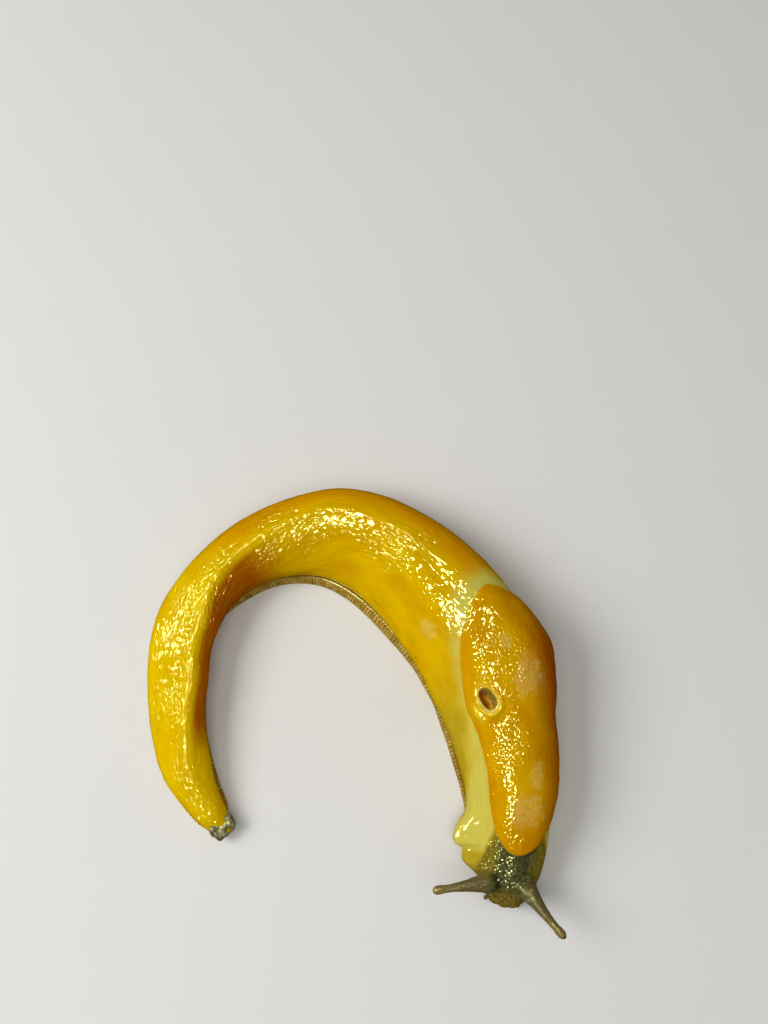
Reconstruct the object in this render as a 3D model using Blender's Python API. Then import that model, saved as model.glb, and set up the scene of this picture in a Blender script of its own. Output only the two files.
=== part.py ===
"""Banana slug, life size, curled as it lies when it circles a mate.

Millimetres are used for every dimension below; the meshes are built in metres, +Z up.
The slug is measured along its middle line, from the snout back to the tail.
Across the body, plus is the slug's right side, which faces the inside of the curl.
"""

import math

import bmesh
import bpy
import numpy as np
from mathutils import Matrix, Vector

MM = 0.001

# Middle line of the body
SNOUT_AT = (31.21, -39.61)  # where the snout's tip stands
FACING = -13.5  # degrees that the line back from the snout starts to the right of +Y
BENDS = (  # length in mm and turn in degrees, from the snout back
    (23.0, 20.0),
    (55.0, 46.0),
    (35.0, 83.0),
    (62.0, 95.0),
)
BEND_EASE = 18.0  # length over which one bend passes into the next
SWAY = (  # how far the body swings to the right of that line
    (0.0, 0.0), (96.0, 0.0), (104.0, -0.2), (112.0, -0.7), (120.0, -1.5), (127.0, -2.1),
    (133.0, -1.6), (140.0, -0.6), (150.0, 0.0), (175.0, 0.0),
)
BODY_LENGTH = 175.0
TAIL_END = 171.0  # where the flesh of the tail ends and its slime plug starts

GAP = 0.3  # clear space between two neighbouring parts

# Each row is a distance behind the snout and the value there
HALF_WIDTH = (
    (0.0, 1.3), (0.5, 2.5), (1.2, 3.5), (2.4, 4.3), (4.0, 5.0), (6.0, 5.7), (8.0, 6.2),
    (12.0, 6.8), (20.0, 7.4), (34.0, 8.6), (40.0, 10.0), (46.0, 11.5), (53.0, 11.3),
    (62.0, 11.0), (73.0, 9.6), (86.0, 8.1), (100.0, 7.6), (112.0, 7.1), (127.0, 6.6),
    (138.0, 6.1), (157.0, 5.2), (164.0, 4.1), (169.0, 3.1), (171.0, 2.5), (175.0, 1.0),
)
TOP = (
    (0.0, 4.7), (0.5, 5.6), (1.2, 6.4), (2.4, 7.3), (4.0, 8.1), (6.0, 8.9), (8.0, 9.5),
    (12.0, 10.6), (20.0, 12.2), (34.0, 14.2), (50.0, 15.8), (62.0, 16.4), (73.0, 16.4),
    (86.0, 14.8), (100.0, 12.6), (111.0, 11.4), (127.0, 10.2), (142.0, 9.0),
    (157.0, 7.8), (164.0, 6.4), (169.0, 5.0), (171.0, 4.0), (175.0, 2.8),
)
BELLY = (  # height of the underside of the head and trunk, above the foot
    (0.0, 3.3), (0.5, 2.4), (1.2, 1.8), (2.4, 1.5), (4.5, 1.55), (8.0, 2.0),
    (14.0, 2.3), (20.0, 2.45), (142.0, 2.45), (157.0, 2.1), (171.0, 1.55), (175.0, 1.4),
)
BELLY_HALF_WIDTH = (
    (0.0, 0.5), (0.5, 1.1), (1.2, 1.8), (2.4, 2.6), (4.5, 3.6), (8.0, 4.8), (12.0, 5.8),
    (20.0, 6.9), (34.0, 8.3), (50.0, 9.8), (62.0, 9.9), (73.0, 9.2), (86.0, 8.1),
    (100.0, 7.1), (111.0, 6.3), (127.0, 5.5), (142.0, 5.0), (157.0, 4.4), (164.0, 3.5),
    (169.0, 2.6), (171.0, 2.0), (175.0, 0.8),
)
WAIST = ((0.0, 0.45), (12.0, 0.40), (24.0, 0.34), (175.0, 0.34))  # share of the height
ROUNDNESS = (  # power of the curve over the back: 2 is an ellipse, less is a keel
    (0.0, 2.2), (24.0, 2.1), (70.0, 2.05), (100.0, 1.9), (127.0, 1.75), (157.0, 1.8),
    (175.0, 2.0),
)
LEAN = (  # how far the back stands over to the slug's left
    (0.0, 0.0), (12.0, 0.9), (20.0, 1.9), (34.0, 3.6), (47.0, 6.3), (62.0, 6.6),
    (75.0, 6.4), (83.0, 5.9), (90.0, 4.8), (97.0, 2.6), (104.0, 0.9), (112.0, -0.2),
    (119.0, -1.9), (127.0, -4.6), (136.0, -4.8), (148.0, -2.9), (160.0, -1.0),
    (175.0, 0.0),
)
KEEL = (  # height of the narrow ridge along the back, behind the mantle
    (0.0, 0.0), (64.0, 0.0), (80.0, 0.45), (110.0, 0.6), (150.0, 0.5), (170.0, 0.0),
    (175.0, 0.0),
)
KEEL_HALF_WIDTH = 1.3
FLARE = (  # how far the foot of the right flank stands out beyond that of the left
    (0.0, 0.0), (10.0, 0.3), (20.0, 1.5), (29.0, 1.3), (38.0, 0.4), (46.0, -0.9),
    (62.0, -1.2), (75.0, -0.6), (86.0, 0.0), (112.0, -0.2), (127.0, -1.2), (140.0, -1.0),
    (155.0, 0.0), (175.0, 0.0),
)

# Foot: the sole, with a fringe that stands out past the groove above it
FOOT_FRONT = 4.5
FOOT_BACK = 170.6
FOOT_EASE = 2.5  # length over which the foot rounds off at its ends
FRINGE_RIGHT = (  # how far the fringe stands out past the belly, inside the curl
    (0.0, 0.6), (22.0, 0.5), (30.0, 0.8), (46.0, 1.3), (53.0, 1.3), (60.0, 1.6),
    (68.0, 1.9), (90.0, 1.6), (112.0, 1.2), (175.0, 0.9),
)
FRINGE_LEFT = ((0.0, 0.9), (24.0, 1.2), (90.0, 1.0), (175.0, 0.7))
FRINGE_PITCH = 2.0  # from one upright fold of the fringe to the next
FRINGE_DEPTH = 0.16
SOLE_EDGE = 0.35  # radius under the fringe
FOOT_CUTS = (30.0, 54.0, 76.0, 95.0, 113.0, 131.0, 151.0)

# Lengths that the trunk is divided into
TRUNK_CUTS = (
    ("neck", 12.0, 25.0),
    ("trunk_under_mantle_front", 25.0, 39.0),
    ("trunk_under_mantle_middle", 39.0, 53.0),
    ("trunk_under_mantle_rear", 53.0, 67.0),
    ("trunk_middle", 67.0, 82.0),
    ("trunk_rear", 82.0, 97.0),
    ("tail_root", 97.0, 112.0),
    ("tail_front", 112.0, 127.0),
    ("tail_middle", 127.0, 143.0),
    ("tail_rear", 143.0, 159.0),
    ("tail_tip", 159.0, 171.0),
)
RING_STEP = 2.0
NECK_RING_STEP = 1.3
BACK_POINTS = 25  # points over the back from one waist to the other
FLANK_POINTS = 3  # points from the waist down to the groove

# Swelling on the right of the neck, in three lobes: place, length, height, reach, bulge
SWELLING = (
    (7.6, 2.1, 4.2, 2.5, 3.0), (11.6, 2.6, 4.4, 2.8, 3.7), (15.2, 3.2, 4.2, 2.8, 3.0),
)

# Mantle: a cape of flesh over the front of the back, free at its edge
MANTLE_FRONT = 10.0
MANTLE_REAR = 59.5
MANTLE_RIGHT = (  # how far it hangs down the right flank, measured over the back
    (10.0, 7.2), (19.0, 7.7), (25.0, 7.3), (31.0, 8.1), (36.0, 9.1), (41.0, 10.9),
    (47.0, 12.2), (52.0, 12.6), (57.0, 11.0), (59.5, 8.0),
)
MANTLE_LEFT = (
    (10.0, 7.8), (20.0, 8.3), (30.0, 9.2), (40.0, 11.6), (47.0, 12.0), (54.0, 9.8),
    (59.5, 6.0),
)
MANTLE_SKEW = (  # how far its middle lies over to the right, measured over the back
    (10.0, 0.0), (40.0, 0.0), (47.0, -0.9), (53.0, -1.9), (59.5, -3.0),
)
MANTLE_SQUARE = 0.88  # power of its outline: 1 is an ellipse, less is squarer
MANTLE_AROUND = 84
MANTLE_INNER = (0.0, 0.30, 0.60, 0.82, 0.95)
# Share of the way out to the edge, then height over the trunk
MANTLE_EDGE = (
    (0.985, 0.30), (1.0, 0.52), (1.004, 0.85), (0.996, 1.15), (0.975, 1.42),
    (0.93, 1.72), (0.85, 2.02), (0.72, 2.30), (0.55, 2.50), (0.34, 2.62), (0.14, 2.68),
    (0.0, 2.70),
)

# Breathing pore, on the right of the mantle
PORE_AT = (40.7, 5.2)  # distance behind the snout, distance over the back
PORE_HALF_LENGTH = 2.6
PORE_HALF_WIDTH = 1.25
PORE_TILT = 28.0
PORE_RIM = 1.0  # width of the lip around it
PORE_RAISED = 0.45
PORE_AROUND = 36

# Upper tentacles, with the eyes at their tips: base, tip as offsets from the snout
# in the head's own directions: back, to the right, up
TENTACLE_RADII = (
    (0.0, 2.5), (0.12, 2.15), (0.22, 1.8), (0.35, 1.38), (0.6, 0.95), (0.85, 0.76),
    (0.94, 0.88), (1.0, 0.86),
)
LEFT_TENTACLE = ((5.0, -2.9, 7.0), (1.3, -6.7, 9.4), (-2.0, -11.5, 9.6))
RIGHT_TENTACLE = ((4.4, 3.2, 7.2), (2.6, 8.2, 9.0), (0.3, 13.7, 9.2))
COLLAR_AT = 0.22  # share of the tentacle that stands as a collar on the head
EYE_AT = 0.95
TENTACLE_AROUND = 16
TENTACLE_RINGS = 14

# Lower tentacles, the feelers beside the mouth
FEELER_RADIUS = 0.5
FEELER_BASE = (1.9, 2.7, 2.6)
FEELER_TIP = (0.6, 3.3, 0.85)
FEELER_COLLAR = 1.2

# Mouth: a slit under the snout
MOUTH_AT = (0.2, 0.0, 3.75)
MOUTH_HALF = (1.1, 2.1, 0.22)

# Slime plug on the tail
PLUG_LENGTH = 2.6
PLUG_SEED = 7

SKIN_YELLOW = (0.58, 0.40, 0.015, 1.0)
MANTLE_ORANGE = (0.60, 0.33, 0.008, 1.0)
NECK_PALE = (0.62, 0.53, 0.10, 1.0)
HEAD_OLIVE = (0.15, 0.14, 0.055, 1.0)
TENTACLE_OLIVE = (0.20, 0.19, 0.09, 1.0)
FOOT_OLIVE = (0.26, 0.22, 0.06, 1.0)
LIP_PALE = (0.62, 0.47, 0.06, 1.0)
EYE_DARK = (0.02, 0.02, 0.018, 1.0)
PLUG_GREY = (0.52, 0.54, 0.44, 1.0)
WET = 0.25
DULL = 0.5


def clear_scene():
    for obj in list(bpy.data.objects):
        bpy.data.objects.remove(obj, do_unlink=True)


def through(rows, u):
    """Value at u of a smooth curve through the rows that never overshoots them."""
    x, y = np.array(rows, float).T
    step = np.diff(x)
    slope = np.diff(y) / step
    tangent = np.zeros(len(x))
    for i in range(1, len(x) - 1):
        if slope[i - 1] * slope[i] > 0:
            before = 2 * step[i] + step[i - 1]
            after = step[i] + 2 * step[i - 1]
            tangent[i] = (before + after) / (before / slope[i - 1] + after / slope[i])
    tangent[0] = slope[0]
    tangent[-1] = slope[-1]
    u = np.clip(u, x[0], x[-1])
    i = np.clip(np.searchsorted(x, u, side="right") - 1, 0, len(x) - 2)
    t = (u - x[i]) / step[i]
    start = (1 + 2 * t) * (1 - t) ** 2 * y[i] + t * (1 - t) ** 2 * step[i] * tangent[i]
    end = t * t * (3 - 2 * t) * y[i + 1] + t * t * (t - 1) * step[i] * tangent[i + 1]
    return start + end


def middle_line():
    """Places along the body's middle, and the direction back along it at each."""
    step = 0.25
    u = np.arange(0.0, BODY_LENGTH + 2 * step, step)
    bend = np.zeros(len(u))
    start = 0.0
    for length, turn in BENDS:
        inside = np.minimum(u + step / 2, start + length) - np.maximum(u - step / 2, start)
        bend += math.radians(turn) / length * np.clip(inside / step, 0.0, 1.0)
        start += length
    reach = int(BEND_EASE / step)
    window = np.hanning(reach + 2)[1:-1]
    window /= window.sum()
    longer = np.concatenate([np.full(reach, bend[0]), bend, np.full(reach, bend[-1])])
    bend = np.convolve(longer, window, "same")[reach:-reach]
    turned = np.concatenate([[0.0], np.cumsum((bend[1:] + bend[:-1]) / 2 * step)])
    heading = math.radians(FACING) + turned
    back = np.stack([-np.sin(heading), np.cos(heading)], axis=-1)
    places = np.concatenate([[[0.0, 0.0]], np.cumsum((back[1:] + back[:-1]) / 2 * step, axis=0)])
    return u, places + SNOUT_AT, back


LINE_U, LINE_AT, LINE_BACK = middle_line()


def frame_at(u):
    """Place on the middle line at u, and its directions back and to the slug's right."""
    at = np.array([np.interp(u, LINE_U, LINE_AT[:, i]) for i in range(2)])
    back = np.array([np.interp(u, LINE_U, LINE_BACK[:, i]) for i in range(2)])
    back /= np.linalg.norm(back)
    at = at + back * min(u, 0.0)
    return at, back, np.array([-back[1], back[0]])


def to_world(u, across, up):
    """Points of one section, from their distances across and up."""
    at, _, right = frame_at(u)
    across = np.asarray(across, float) + float(through(SWAY, u))
    up = np.asarray(up, float)
    return np.stack([at[0] + right[0] * across, at[1] + right[1] * across, up], axis=-1)


def section(u, back_points=BACK_POINTS, flank_points=FLANK_POINTS):
    """Outline of the head or trunk at u, from the right of the belly over the back."""
    wide = float(through(HALF_WIDTH, u))
    top = float(through(TOP, u))
    low = float(through(BELLY, u))
    belly = float(through(BELLY_HALF_WIDTH, u))
    waist = low + float(through(WAIST, u)) * (top - low)
    power = 2 / float(through(ROUNDNESS, u))
    lean = float(through(LEAN, u))
    turn = np.linspace(0.0, math.pi, back_points)
    across = wide * np.sign(np.cos(turn)) * np.abs(np.cos(turn)) ** power
    up = waist + (top - waist) * np.abs(np.sin(turn)) ** power
    drop = np.linspace(0.0, math.pi / 2, flank_points + 1)[1:]
    flank_across = belly + (wide - belly) * np.cos(drop)
    flank_up = waist - (waist - low) * np.sin(drop)
    up = up + float(through(KEEL, u)) * np.exp(-((across / KEEL_HALF_WIDTH) ** 2))
    across = np.concatenate([flank_across[::-1], across, -flank_across])
    up = np.concatenate([flank_up[::-1], up, flank_up])
    for place, length, height, reach, bulge in SWELLING:
        near = math.exp(-(((u - place) / length) ** 2))
        level = np.exp(-(((up - height) / reach) ** 2))
        across = across + np.where(across > 0, bulge * near * level, 0.0)
    share = np.clip((up - low) / (top - low), 0.0, 1.0)
    across = across + np.where(across > 0, float(through(FLARE, u)) * (1 - share), 0.0)
    across = across - lean * share**2 * (3 - 2 * share)
    return across, up


def over_back(u, reach, height):
    """World point at a distance over the back from its ridge, and above the skin."""
    across, up = section(u, 97, 4)
    run = np.concatenate([[0.0], np.cumsum(np.hypot(np.diff(across), np.diff(up)))])
    ridge = run[np.argmax(up)]
    place = ridge - reach
    a = np.interp(place, run, across)
    z = np.interp(place, run, up)
    slope_a = np.interp(place + 0.4, run, across) - np.interp(place - 0.4, run, across)
    slope_z = np.interp(place + 0.4, run, up) - np.interp(place - 0.4, run, up)
    size = math.hypot(slope_a, slope_z)
    a += slope_z / size * height
    z += -slope_a / size * height
    return to_world(u, a, z)


def material(name, colour, roughness, coat=0.0):
    made = bpy.data.materials.new(name)
    made.use_nodes = True
    shader = made.node_tree.nodes["Principled BSDF"]
    shader.inputs["Base Color"].default_value = colour
    shader.inputs["Roughness"].default_value = roughness
    shader.inputs["Metallic"].default_value = 0.0
    shader.inputs["Coat Weight"].default_value = coat
    shader.inputs["Coat Roughness"].default_value = 0.08
    made.diffuse_color = colour
    return made


def add_object(name, mesh, home, colour, roughness, coat=0.0, sharp=50.0):
    """An object with its own material, whose origin is the middle of its mesh."""
    points = np.array([v.co for v in mesh.vertices])
    middle = Vector((points.min(axis=0) + points.max(axis=0)) / 2)
    mesh.transform(Matrix.Translation(-middle))
    for polygon in mesh.polygons:
        polygon.use_smooth = True
    mesh.set_sharp_from_angle(angle=math.radians(sharp))
    mesh.materials.append(material(name, colour, roughness, coat))
    obj = bpy.data.objects.new(name, mesh)
    obj.location = middle
    home["collection"].objects.link(obj)
    obj.parent = home["slug"]
    return obj


def loft(name, rings):
    """Closed mesh through rings of equally many points, with flat ends."""
    form = bmesh.new()
    rows = [[form.verts.new(Vector(p) * MM) for p in ring] for ring in rings]
    count = len(rows[0])
    for before, after in zip(rows, rows[1:]):
        for i in range(count):
            j = (i + 1) % count
            form.faces.new((before[i], before[j], after[j], after[i]))
    form.faces.new(rows[0][::-1])
    form.faces.new(rows[-1])
    bmesh.ops.recalc_face_normals(form, faces=form.faces)
    mesh = bpy.data.meshes.new(name)
    form.to_mesh(mesh)
    form.free()
    return mesh


def shell(name, inner, outer):
    """Closed mesh of two domed sheets: rings from the inner middle round the edge to the outer middle."""
    form = bmesh.new()
    first = form.verts.new(Vector(inner) * MM)
    rows = [[form.verts.new(Vector(p) * MM) for p in ring] for ring in outer[:-1]]
    last = form.verts.new(Vector(outer[-1]) * MM)
    count = len(rows[0])
    for i in range(count):
        j = (i + 1) % count
        form.faces.new((first, rows[0][i], rows[0][j]))
        for before, after in zip(rows, rows[1:]):
            form.faces.new((before[i], after[i], after[j], before[j]))
        form.faces.new((rows[-1][i], last, rows[-1][j]))
    bmesh.ops.recalc_face_normals(form, faces=form.faces)
    mesh = bpy.data.meshes.new(name)
    form.to_mesh(mesh)
    form.free()
    return mesh


def lengths(start, end, step):
    """Distances from start to end, evenly spaced and about one step apart."""
    return np.linspace(start, end, max(2, int(round((end - start) / step)) + 1))


def boolean(obj, tool, kind):
    """Joins the tool to the object or cuts it away, then drops the tool."""
    change = obj.modifiers.new(tool.name, "BOOLEAN")
    change.operation = kind
    change.solver = "EXACT"
    change.object = tool
    return change


def add_tool(name, mesh, home):
    """A helper for a Boolean, kept out of the render."""
    tool = bpy.data.objects.new(name, mesh)
    home["cutters"].objects.link(tool)
    tool.parent = home["slug"]
    tool.hide_render = True
    tool.display_type = "WIRE"
    return tool


def trunk_length(name, start, end, home):
    begin = start + GAP / 2
    finish = end - GAP / 2
    step = NECK_RING_STEP if name == "neck" else RING_STEP
    rings = [to_world(u, *section(u)) for u in lengths(begin, finish, step)]
    colour = NECK_PALE if name == "neck" else SKIN_YELLOW
    return add_object(name, loft(name, rings), home, colour, WET, 0.6)


def foot_share(u):
    """Share of its full width that the foot has at u: less where its ends round off."""
    inside = min(u - FOOT_FRONT, FOOT_BACK - u)
    short = max(0.0, FOOT_EASE - inside) / (FOOT_EASE + 0.1)
    return math.sqrt(1 - short**2)


def foot_section(u, fold):
    """Outline of the foot at u: the flat sole, the fringe and the groove above it."""
    belly = float(through(BELLY_HALF_WIDTH, u))
    top = float(through(BELLY, u)) - GAP
    narrow = foot_share(u)
    outline = []
    flare = float(through(FLARE, u))
    for side, rows in ((1.0, FRINGE_RIGHT), (-1.0, FRINGE_LEFT)):
        root = (belly + flare * (side > 0)) * narrow
        reach = float(through(rows, u)) * narrow
        raised = fold * FRINGE_DEPTH
        across = np.array([
            root + reach - SOLE_EDGE, root + reach, root + reach * 0.96 + raised,
            root + reach * 0.62 + raised, root + reach * 0.2, root - 0.3,
        ])
        up = np.array([0.0, SOLE_EDGE * 0.7, SOLE_EDGE + 0.25, top * 0.72 + raised, top - 0.1, top])
        order = slice(None) if side > 0 else slice(None, None, -1)
        outline.append((side * across[order], up[order]))
    across = np.concatenate([outline[0][0], outline[1][0]])
    up = np.concatenate([outline[0][1], outline[1][1]])
    return across, up


def foot_length(name, start, end, home):
    begin = start + GAP / 2
    finish = end - GAP / 2
    rings = []
    for i, u in enumerate(lengths(begin, finish, FRINGE_PITCH / 2)):
        rings.append(to_world(u, *foot_section(u, 1 if i % 2 else -1)))
    return add_object(name, loft(name, rings), home, FOOT_OLIVE, DULL, 0.3, 70.0)


def add_foot(home):
    places = (FOOT_FRONT,) + FOOT_CUTS + (FOOT_BACK,)
    for number, (start, end) in enumerate(zip(places, places[1:]), 1):
        foot_length(f"foot_{number}", start, end, home)


def mantle_point(share, turn, height):
    """Point of the mantle: a share of the way from its middle to its edge."""
    middle = (MANTLE_FRONT + MANTLE_REAR) / 2
    half = (MANTLE_REAR - MANTLE_FRONT) / 2
    along = math.cos(turn)
    u = middle + half * along
    reach = float(through(MANTLE_RIGHT if math.sin(turn) > 0 else MANTLE_LEFT, u))
    aside = reach * math.copysign(abs(math.sin(turn)) ** MANTLE_SQUARE, math.sin(turn))
    aside += float(through(MANTLE_SKEW, u))
    return over_back(middle + share * half * along, share * aside, height)


def add_mantle(home):
    turns = np.arange(MANTLE_AROUND) * 2 * math.pi / MANTLE_AROUND
    rings = []
    for share in MANTLE_INNER[1:]:
        rings.append([mantle_point(share, turn, GAP) for turn in turns])
    for share, height in MANTLE_EDGE[:-1]:
        rings.append([mantle_point(share, turn, height) for turn in turns])
    rings.append(mantle_point(0.0, 0.0, MANTLE_EDGE[-1][1]))
    mesh = shell("mantle", mantle_point(0.0, 0.0, GAP), rings)
    mantle = add_object("mantle", mesh, home, MANTLE_ORANGE, WET, 0.7)
    hole = loft("pore_hole", [pore_ring(PORE_RIM + GAP, h) for h in (-1.2, 1.0, 2.6, 5.0)])
    boolean(mantle, add_tool("pore_hole", hole, home), "DIFFERENCE")


def pore_point(turn, outwards, height):
    """Point round the breathing pore, some way outwards from its opening."""
    along = (PORE_HALF_LENGTH + outwards) * math.cos(turn)
    aside = (PORE_HALF_WIDTH + outwards) * math.sin(turn)
    tilt = math.radians(PORE_TILT)
    u = PORE_AT[0] + along * math.cos(tilt) - aside * math.sin(tilt)
    reach = PORE_AT[1] + along * math.sin(tilt) + aside * math.cos(tilt)
    return over_back(u, reach, height)


def pore_ring(outwards, height):
    turns = np.arange(PORE_AROUND) * 2 * math.pi / PORE_AROUND
    return [pore_point(turn, outwards, height) for turn in turns]


def add_pore_lip(home):
    """The raised lip round the breathing pore."""
    crown = MANTLE_EDGE[-1][1] + PORE_RAISED
    profile = (
        (0.25, GAP), (PORE_RIM - 0.05, GAP), (PORE_RIM, 1.4), (PORE_RIM, crown - 0.75),
        (PORE_RIM * 0.8, crown - 0.2), (PORE_RIM * 0.5, crown), (PORE_RIM * 0.2, crown - 0.25),
        (0.0, crown - 0.9), (0.12, 1.2),
    )
    form = bmesh.new()
    turns = np.arange(PORE_AROUND) * 2 * math.pi / PORE_AROUND
    rows = []
    for turn in turns:
        rows.append([form.verts.new(Vector(pore_point(turn, o, h)) * MM) for o, h in profile])
    count = len(profile)
    for i, row in enumerate(rows):
        beyond = rows[(i + 1) % len(rows)]
        for j in range(count):
            k = (j + 1) % count
            form.faces.new((row[j], row[k], beyond[k], beyond[j]))
    bmesh.ops.recalc_face_normals(form, faces=form.faces)
    mesh = bpy.data.meshes.new("pore_lip")
    form.to_mesh(mesh)
    form.free()
    add_object("pore_lip", mesh, home, LIP_PALE, WET, 0.7)


def head_point(place):
    """World point of a place given back from the snout, to the right and up."""
    back, right, up = place
    return Vector(to_world(back, right, up))


def tube(name, centres, radii, around, rounded_end=False):
    """Closed tube of changing radius along a line of centres."""
    rings = []
    side = Vector((0.0, 0.0, 1.0))
    count = len(centres)
    for i, centre in enumerate(centres):
        ahead = (centres[min(i + 1, count - 1)] - centres[max(i - 1, 0)]).normalized()
        side = (side - ahead * side.dot(ahead)).normalized()
        other = ahead.cross(side)
        ring = []
        for j in range(around):
            turn = 2 * math.pi * j / around
            ring.append(centre + (side * math.cos(turn) + other * math.sin(turn)) * radii[i])
        rings.append(ring)
    if rounded_end:
        ahead = (centres[-1] - centres[-2]).normalized()
        for turn in (30.0, 60.0, 80.0):
            reach = math.sin(math.radians(turn)) * radii[-1]
            narrow = math.cos(math.radians(turn))
            centre = centres[-1]
            rings.append([centre + (p - centre) * narrow + ahead * reach for p in rings[count - 1]])
    return loft(name, rings)


def bowed(places, share):
    """Point on the curve from the first place to the last, drawn towards the middle one."""
    first, middle, last = (head_point(place) for place in places)
    a = first.lerp(middle, share)
    b = middle.lerp(last, share)
    return a.lerp(b, share)


def add_tentacle(side, places, head, home):
    span = (head_point(places[2]) - head_point(places[0])).length
    root = np.linspace(0.0, COLLAR_AT, 5)
    collar = tube(
        f"{side}_collar", [bowed(places, s) for s in root],
        [float(through(TENTACLE_RADII, s)) for s in root], TENTACLE_AROUND,
    )
    boolean(head, add_tool(f"{side}_collar", collar, home), "UNION")
    stalk = np.linspace(COLLAR_AT + GAP / span, EYE_AT - GAP / span, TENTACLE_RINGS)
    mesh = tube(
        f"upper_tentacle_{side}", [bowed(places, s) for s in stalk],
        [float(through(TENTACLE_RADII, s)) for s in stalk], TENTACLE_AROUND,
    )
    add_object(f"upper_tentacle_{side}", mesh, home, TENTACLE_OLIVE, WET, 0.6)
    tip = np.linspace(EYE_AT, 1.0, 3)
    mesh = tube(
        f"eye_{side}", [bowed(places, s) for s in tip],
        [float(through(TENTACLE_RADII, s)) for s in tip], TENTACLE_AROUND, True,
    )
    add_object(f"eye_{side}", mesh, home, EYE_DARK, 0.1, 1.0)


def add_feeler(side, sign, head, home):
    base = head_point((FEELER_BASE[0], sign * FEELER_BASE[1], FEELER_BASE[2]))
    tip = head_point((FEELER_TIP[0], sign * FEELER_TIP[1], FEELER_TIP[2]))
    ahead = (tip - base).normalized()
    collar_end = base + ahead * FEELER_COLLAR
    centres = [base, base.lerp(collar_end, 0.5), collar_end]
    radii = [FEELER_RADIUS * 1.3, FEELER_RADIUS * 1.1, FEELER_RADIUS]
    collar = tube(f"{side}_feeler_collar", centres, radii, 12)
    boolean(head, add_tool(f"{side}_feeler_collar", collar, home), "UNION")
    begin = collar_end + ahead * GAP
    centres = [begin, begin.lerp(tip, 0.5), tip]
    radii = [FEELER_RADIUS, FEELER_RADIUS * 0.92, FEELER_RADIUS]
    mesh = tube(f"lower_tentacle_{side}", centres, radii, 12, True)
    add_object(f"lower_tentacle_{side}", mesh, home, TENTACLE_OLIVE, WET, 0.6)


def add_head(home):
    first = TRUNK_CUTS[0][1] - GAP / 2
    places = (0.0, 0.25, 0.6, 1.1, 1.8, 2.8, 4.0, 5.5, 7.0, 8.6, 10.2, first)
    rings = [to_world(u, *section(u)) for u in places]
    head = add_object("head", loft("head", rings), home, HEAD_OLIVE, WET, 0.6)
    add_tentacle("left", LEFT_TENTACLE, head, home)
    add_tentacle("right", RIGHT_TENTACLE, head, home)
    add_feeler("left", -1.0, head, home)
    add_feeler("right", 1.0, head, home)
    form = bmesh.new()
    bmesh.ops.create_uvsphere(form, u_segments=24, v_segments=8, radius=MM)
    mesh = bpy.data.meshes.new("mouth_slit")
    form.to_mesh(mesh)
    form.free()
    slit = add_tool("mouth_slit", mesh, home)
    slit.location = head_point(MOUTH_AT) * MM
    slit.rotation_euler = (0.0, 0.0, math.radians(FACING + 90.0))
    slit.scale = MOUTH_HALF
    boolean(head, slit, "DIFFERENCE")


def add_tail_plug(home):
    """The lump of slime that banana slugs carry at the tip of the tail."""
    chance = np.random.default_rng(PLUG_SEED)
    profile = ((0.0, 0.93), (0.7, 1.12), (1.5, 1.08), (2.2, 0.8), (PLUG_LENGTH, 0.35))
    across, up = section(TAIL_END, 13, 2)
    rings = []
    for along, size in profile:
        rough = 1 + chance.normal(0.0, 0.05, len(across)) * (along > 0)
        a = across * size * rough
        z = 1.6 + (up - 1.6) * size * rough
        rings.append(to_world(TAIL_END + GAP / 2 + along, a, z))
    add_object("tail_plug", loft("tail_plug", rings), home, PLUG_GREY, DULL, 0.3, 30.0)


def main():
    clear_scene()
    collection = bpy.data.collections.new("banana_slug")
    bpy.context.scene.collection.children.link(collection)
    cutters = bpy.data.collections.new("banana_slug_cutters")
    bpy.context.scene.collection.children.link(cutters)
    cutters.hide_render = True
    slug = bpy.data.objects.new("banana_slug", None)
    collection.objects.link(slug)
    home = {"collection": collection, "cutters": cutters, "slug": slug}
    add_head(home)
    for name, start, end in TRUNK_CUTS:
        trunk_length(name, start, end, home)
    add_foot(home)
    add_mantle(home)
    add_pore_lip(home)
    add_tail_plug(home)


main()
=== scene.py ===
"""Looks of the banana slug: one wet skin, its striped foot fringe, its eyes and its slime plug.

Millimetres are used for every dimension; meshes are turned into metres as they are made.
The slug is measured along its middle line, from the snout back to the tail. A place on it is
(along, over, rise): the distance behind the snout, the distance over the back from the ridge,
where plus is the slug's right side, and the height above the trunk.
"""

import math

import bpy
import numpy as np
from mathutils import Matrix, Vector


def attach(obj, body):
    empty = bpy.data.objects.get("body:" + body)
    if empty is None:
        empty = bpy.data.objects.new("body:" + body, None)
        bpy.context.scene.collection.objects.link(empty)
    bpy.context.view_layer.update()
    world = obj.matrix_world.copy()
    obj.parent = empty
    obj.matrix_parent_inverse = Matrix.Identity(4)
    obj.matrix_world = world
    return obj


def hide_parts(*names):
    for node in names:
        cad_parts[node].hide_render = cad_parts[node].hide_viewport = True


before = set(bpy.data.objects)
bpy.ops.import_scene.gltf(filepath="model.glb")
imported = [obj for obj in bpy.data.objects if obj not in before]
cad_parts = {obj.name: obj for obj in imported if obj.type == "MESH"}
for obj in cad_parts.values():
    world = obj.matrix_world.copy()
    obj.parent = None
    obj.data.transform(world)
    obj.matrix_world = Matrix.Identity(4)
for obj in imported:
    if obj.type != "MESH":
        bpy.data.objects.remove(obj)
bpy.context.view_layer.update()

MM = 0.001

# Middle line of the body
SNOUT_AT = (31.21, -39.61)
FACING = -13.5
BENDS = ((23, 20), (55, 46), (35, 83), (62, 95))
BEND_EASE = 18.0
SWAY = (
    (0, 0), (96, 0), (104, -0.2), (112, -0.7), (120, -1.5), (127, -2.1), (133, -1.6), (140, -0.6),
    (150, 0), (175, 0),
)
BODY_LENGTH = 175.0
TAIL_END = 171.0

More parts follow.
